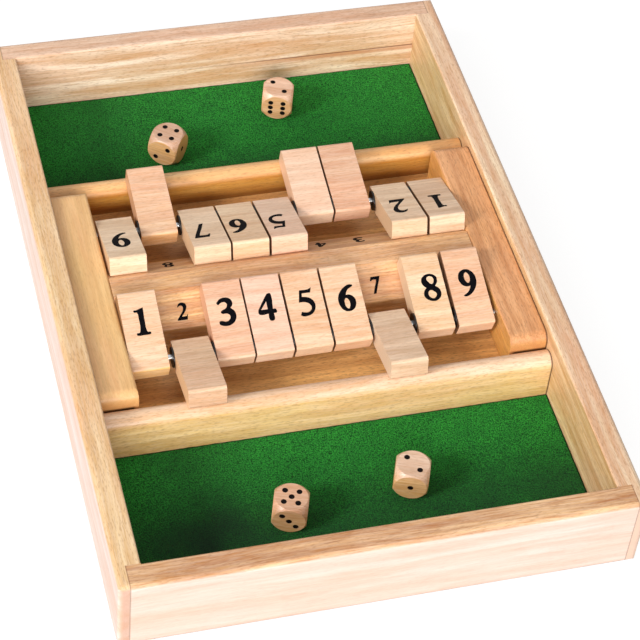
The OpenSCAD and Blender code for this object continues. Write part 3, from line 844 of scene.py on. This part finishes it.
def pip_tree():
    """Geometry Nodes that burn a dished black spot into every pit, square to its face."""
    group = bpy.data.node_groups.new("burnt_pips", "GeometryNodeTree")
    sockets = (
        ("Geometry", "NodeSocketGeometry", None),
        ("Pip diameter", "NodeSocketFloat", PIP_MM * MM),
        ("Pip depth", "NodeSocketFloat", PIP_DEPTH_MM * MM),
        ("Stain thickness", "NodeSocketFloat", STAIN_MM * MM),
        ("Proud", "NodeSocketFloat", STAIN_PROUD_MM * MM),
        ("Sides", "NodeSocketInt", STAIN_SIDES),
        ("Rings", "NodeSocketInt", STAIN_RINGS),
        ("Finish", "NodeSocketMaterial", None),
        ("Seed", "NodeSocketInt", 4),
    )
    for name, kind, default in sockets:
        socket = group.interface.new_socket(name, in_out="INPUT", socket_type=kind)
        if default is not None:
            socket.default_value = default
    group.interface.new_socket("Geometry", in_out="OUTPUT", socket_type="NodeSocketGeometry")
    given = add(group, "NodeGroupInput").outputs
    place = add(group, "GeometryNodeInputPosition").outputs[0]
    at = add(group, "ShaderNodeSeparateXYZ", {0: place}).outputs
    length = {
        "wide": given["Pip diameter"], "deep": given["Pip depth"], "thick": given["Stain thickness"],
        "proud": given["Proud"], "x": at[0], "y": at[1],
    }
    # The pit is part of a ball of this radius: (half * half + deep * deep) / (2 * deep).
    sums = (
        ("radius", "MULTIPLY", "wide", STAIN_REACH),
        ("y squared", "MULTIPLY", "y", "y"),
        ("out squared", "MULTIPLY_ADD", "x", "x", "y squared"),
        ("out", "SQRT", "out squared"),
        ("rim", "DIVIDE", "out", "radius"),
        ("half", "MULTIPLY", "wide", 0.5),
        ("deep squared", "MULTIPLY", "deep", "deep"),
        ("both squared", "MULTIPLY_ADD", "half", "half", "deep squared"),
        ("twice deep", "MULTIPLY", "deep", 2.0),
        ("ball", "DIVIDE", "both squared", "twice deep"),
        ("ball squared", "MULTIPLY", "ball", "ball"),
        ("chord squared", "SUBTRACT", "ball squared", "out squared"),
        ("chord", "SQRT", "chord squared"),
        ("floor", "SUBTRACT", "ball", "deep"),
        ("dish", "SUBTRACT", "floor", "chord"),
        ("sink", "MULTIPLY_ADD", "thick", -0.5, "proud"),
        ("lift", "ADD", "dish", "sink"),
    )
    for name, operation, *terms in sums:
        inputs = {i: length[term] if isinstance(term, str) else term for i, term in enumerate(terms)}
        length[name] = add(group, "ShaderNodeMath", inputs, operation=operation).outputs[0]
    spot = add(group, "GeometryNodeMeshCylinder", {
        "Vertices": given["Sides"], "Fill Segments": given["Rings"], "Radius": length["radius"],
        "Depth": given["Stain thickness"],
    }, fill_type="TRIANGLE_FAN")
    lift = add(group, "ShaderNodeCombineXYZ", {"Z": length["lift"]})
    dished = add(group, "GeometryNodeSetPosition", {
        "Geometry": spot.outputs["Mesh"], "Offset": lift.outputs[0],
    })
    marked = add(group, "GeometryNodeStoreNamedAttribute", {
        "Geometry": dished.outputs[0], "Name": "rim", "Value": length["rim"],
    }, data_type="FLOAT", domain="POINT")
    facing = add(group, "GeometryNodeInputNamedAttribute", {"Name": "facing"}, data_type="FLOAT_VECTOR")
    turn = add(group, "FunctionNodeAlignRotationToVector", {"Vector": facing.outputs[0]}, axis="Z")
    # Sockets 2 and 3, and output 1, are the ones of a random value that is a number.
    size = add(group, "FunctionNodeRandomValue", {
        2: STAIN_SIZES[0], 3: STAIN_SIZES[1], "Seed": given["Seed"],
    }, data_type="FLOAT")
    spots = add(group, "GeometryNodeInstanceOnPoints", {
        "Points": given["Geometry"], "Instance": marked.outputs[0], "Rotation": turn.outputs[0],
        "Scale": size.outputs[1],
    })
    real = add(group, "GeometryNodeRealizeInstances", {0: spots.outputs[0]})
    painted = add(group, "GeometryNodeSetMaterial", {0: real.outputs[0], "Material": given["Finish"]})
    add(group, "NodeGroupOutput", {0: painted.outputs[0]})
    return group


def burn_pips(group, node):
    """The 21 burnt pips of one die, as one mesh."""
    low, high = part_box(node)
    middle = (low + high) / 2
    spin, lie = DICE[node]
    turn = Matrix.Rotation(math.radians(spin), 3, "Z") @ Euler([math.radians(a) for a in lie]).to_matrix()
    half = (high.z - low.z) / 2
    points, normals = [], []
    for face, steps in PIPS:
        for step in steps:
            points.append(middle + turn @ (Vector(face) * half + Vector(step) * PIP_STEP_MM * MM))
            normals.append(turn @ Vector(face))
    seedbed = bpy.data.meshes.new("pip_points")
    seedbed.from_pydata(points, [], [])
    facing = seedbed.attributes.new("facing", "FLOAT_VECTOR", "POINT")
    facing.data.foreach_set("vector", [c for normal in normals for c in normal])
    maker = new_object("pip_maker", seedbed)
    modifier = maker.modifiers.new("burnt_pips", "NODES")
    modifier.node_group = group
    sockets = {item.name: item.identifier for item in group.interface.items_tree if item.in_out == "INPUT"}
    modifier[sockets["Finish"]] = MATERIALS["pip"]
    modifier[sockets["Seed"]] = int(node[-1])
    mesh = baked(maker)
    bpy.data.meshes.remove(seedbed)
    mesh.name = f"{node}_pips"
    for polygon in mesh.polygons:
        polygon.use_smooth = True
    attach(new_object(mesh.name, mesh), node)


# ---- Wood tones ------------------------------------------------------------

TILE_TONES = {
    # name: pale, deep, blush
    "cream": ("F3D6B2", "DCB084", 0.15),
    "oat": ("EECAA8", "D7A57C", 0.15),
    "pink": ("EABF9E", "D59D7B", 0.45),
    "blossom": ("EEC7B0", "D9A88C", 0.40),
    "pale_pink": ("F5D4BB", "DFB596", 0.40),
    "peach": ("E2B797", "CE9674", 0.50),
    "tan": ("E6BE98", "CE9D78", 0.40),
    "fawn": ("EAC49F", "CBA07A", 0.30),
    "ash": ("F4D3B3", "D1A984", 0.20),
    "bone": ("F9DCBC", "DDB891", 0.15),
}
# Each row's tiles from 1 to 9.
TILE_TONES_OF = {
    "near": ("oat", "fawn", "pink", "blossom", "oat", "oat", "ash", "cream", "tan"),
    "far": ("ash", "bone", "peach", "pale_pink", "pale_pink", "cream", "bone", "tan", "bone"),
}
# Painted light: some tiles have paler tones on the heel, toe and sides than on the numbered face.
# Two have a honey tone there instead.
PALE_HEEL = ("F9E0C6", "E9C39E")
HEEL_TONES = {
    ("near", 1): ("FAD082", "E0AF61"), ("near", 3): PALE_HEEL, ("near", 4): PALE_HEEL,
    ("near", 5): PALE_HEEL, ("near", 8): PALE_HEEL, ("near", 9): PALE_HEEL, ("far", 4): PALE_HEEL,
    ("far", 8): ("F2BC80", "D89C60"),
}
# End grain on the left that isn't as deep as the tile's deep tone.
END_TONES = {("near", 2): "E5BC91", ("near", 7): "D8BFA5", ("near", 8): "D8B896", ("far", 2): "CEAB87"}
# Painted shade: the sides that face the next tile or block across a narrow gap are painted dark, the
# left sides of some, and the right sides of some.
GAP_SHADE_TONE = "8A5E3E"
GAP_SHADED_LEFT = {"near": (1, 4, 5, 6, 9), "far": (1, 3, 5, 6)}
GAP_SHADED_RIGHT = {"near": (3, 4, 5, 8, 9), "far": (2, 4, 6, 7)}
DIE_TONES = {
    # name: pale and deep of the four sides, pale and deep of the top and bottom (painted light and shade)
    "die_1": ("E5B56D", "C98F4B", "DEBBA3", "C29271"),
    "die_2": ("E2B27B", "C68D55", "EBC2A7", "CD9873"),
    "die_3": ("DDB57B", "C28F55", "E1B490", "C48C62"),
    "die_4": ("EFC27B", "D39955", "E7CAB3", "C99F7C"),
}
# A seed picks a piece's place in the solid pattern. Boards have 3 to 13.
FIRST_TILE_SEED = 20
FIRST_DIE_SEED = 50

# Dark lines on the wood: joints where boards meet, and painted shade where one part shades another.
# A line is its axis, its place, its reach, its colour and its depth, and from where to where along X
# it fades in.
X_AXIS, Z_AXIS = 0, 2
WALL_X_MM = 108.0        # inner faces of the side boards
FLOOR_Z_MM = 15.7        # top of the middle floor
CROWN_Z_MM = 28.2        # where a crossbar's crown curves away from a side block's end, under a painted shadow line
BLOCK_X_MM = (90.5, 92)  # just past the block's inner face, which the crown line stays off
WALL_LINES = [(X_AXIS, side * WALL_X_MM, 1.0, "4A2A16", 0.9) for side in (-1, 1)]
# Painted shade, with some glue: the far crossbar darkens towards its foot on the middle floor.
FLOOR_GLUE_AND_SHADE_LINE = (Z_AXIS, FLOOR_Z_MM, 5.0, "6E3A1C", 0.55)
# Painted shadow: a dark line on each side block's end, where the crossbar's crown curves away below it.
CROWN_SHADOW_LINE = {
    side: (Z_AXIS, CROWN_Z_MM, 1.8, "3A2012", 0.85, side * BLOCK_X_MM[0], side * BLOCK_X_MM[1])
    for side in (-1, 1)
}
# The far end board is glued up from two strips; the lower one starts with a reddish streak.
STRIP_LINES = [
    (Z_AXIS, 19.6, 1.8, "C07850", 0.5, -5, 60),
    (Z_AXIS, 21.2, 0.6, "7E4426", 0.8, -25, 40),
]


def dress_frame():
    """Each board has its own face tones, and its own top tones: edge grain and painted light and shade."""
    lip_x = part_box("near_end")[1].x / MM
    shoulders = [(X_AXIS, side * lip_x, 0.7, "7A4A2A", 0.55) for side in (-1, 1)]
    dress_in_wood(
        "left_side", GRAIN_Y, "F1DFD8", "E3BFAA", seed=3, edge=("EDCEA0", "D1A46C"), face_dashes=0.3,
        end_tone="CF9A7C", end_share=0.6,
    )
    dress_in_wood(
        "right_side", GRAIN_Y, "F0D09E", "C59455", seed=4, edge=("EDD2AF", "CF9E75"), end_tone="EBC8B4",
        end_share=0.9,
    )
    dress_in_wood(
        "near_end", GRAIN_X, "F4E0D6", "E7C6B4", seed=5, edge=("E9BD8B", "AE713E"), streak=0.8,
        face_dashes=0.25, joints=shoulders,
    )
    dress_in_wood(
        "far_end", GRAIN_X, "FDE9D2", "D0A072", seed=6, edge=("F0D2B8", "CE9E7C"), streak=0.7,
        joints=shoulders + STRIP_LINES,
    )
    dress_in_wood(
        "near_crossbar", GRAIN_X, "F3D294", "D8AE67", seed=7, edge=("F2D3B4", "D8A97C"), joints=WALL_LINES,
    )
    dress_in_wood(
        "far_crossbar", GRAIN_X, "D99E44", "BD7928", seed=8, edge=("EEBF88", "D99C60"), blush=0.05,
        glint="F6CE86", joints=[*WALL_LINES, FLOOR_GLUE_AND_SHADE_LINE],
    )
    dress_in_wood(
        "number_ridge", GRAIN_X, "ECC488", "BB884B", seed=9, edge=("EEBD82", "C08048"), streak=0.7,
    )
    dress_in_wood(
        "left_block", GRAIN_Y, "E6BE80", "CFA062", seed=10, edge=("EABF80", "D1A266"), rings=0.3,
        pores=0.15, streak=0.4, glint="F8DCA8", end_tone="C68A48", joints=[*WALL_LINES, CROWN_SHADOW_LINE[-1]],
    )
    dress_in_wood(
        "right_block", GRAIN_Y, "E1AA52", "C58434", seed=11, edge=("DFA26C", "BD7C48"), rings=0.3,
        pores=0.45, streak=0.7, blush=0.15, glint="F8CCA0", end_tone="C68E60",
        joints=[*WALL_LINES, CROWN_SHADOW_LINE[1]],
    )
    dress_in_wood(
        "middle_floor", GRAIN_X, "FAC67A", "C88E50", seed=12, finish="lacquered_brown_hardwood", rings=0.5,
        pores=0.5, tint="E8B07C", blush=0.2, glint="F8D29C",
    )
    dress_in_wood(
        "base_panel", GRAIN_X, "D8B888", "BE9462", seed=13, finish="sanded_plywood", rings=0.2, rough=0.6,
    )


def dress_tiles():
    """Each tile has its own tones; some heels get painted light, and sides in narrow gaps painted shade."""
    seed = FIRST_TILE_SEED
    for row, tones in TILE_TONES_OF.items():
        for digit, tone in enumerate(tones, start=1):
            node = f"{row}_tile_{digit}"
            pale, deep, blush = TILE_TONES[tone]
            heel_pale, heel_deep = HEEL_TONES.get((row, digit), (pale, deep))
            # Painted shade on the sides that face a neighbour across a narrow gap.
            left = GAP_SHADE_TONE if digit in GAP_SHADED_LEFT[row] else END_TONES.get((row, digit), deep)
            right = GAP_SHADE_TONE if digit in GAP_SHADED_RIGHT[row] else deep
            dress_in_wood(
                node, GRAIN_X, heel_pale, heel_deep, seed, rings=0.25, pores=0.22, streak=0.5, blush=blush,
                edge=(pale, deep), end_tone=left, right_tone=right, end_share=0.9,
            )
            seed += 1


def dress_dice():
    """The dice are tumbled, so they are smoother than the boards, and their grain turns with them."""
    for seed, (node, (spin, _)) in enumerate(DICE.items(), start=FIRST_DIE_SEED):
        turn = Euler((0, 0, -math.radians(spin)))
        # The top and bottom take tones apart from the sides: painted light and shade.
        side_pale, side_deep, top_pale, top_deep = DIE_TONES[node]
        dress_in_wood(
            node, turn, side_pale, side_deep, seed, finish="tumbled_rubberwood", rings=0.3, pores=0.2,
            rough=0.34, blush=0.3, edge=(top_pale, top_deep),
        )


# ---- Assembly --------------------------------------------------------------

MATERIALS = {"felt": green_felt(), "ink": printed_ink(), "pip": burnt_pip()}
ROD_LINES = {row: sum(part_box(f"{row}_rod"), Vector()) / 2 for row in ("near", "far")}

make_camera()
make_softboxes()
make_world()
make_floor()
dress_frame()
dress_tiles()
dress_dice()
for row in ("near", "far"):
    dress(f"{row}_rod", drawn_steel())
    dress(f"{row}_washers", oiled_steel())
    lay_felt(row)
    print_ridge(row)
    for digit in range(1, 10):
        print_tile(row, digit)
pips = pip_tree()
for node in DICE:
    burn_pips(pips, node)

bpy.context.scene.view_settings.view_transform = "Standard"
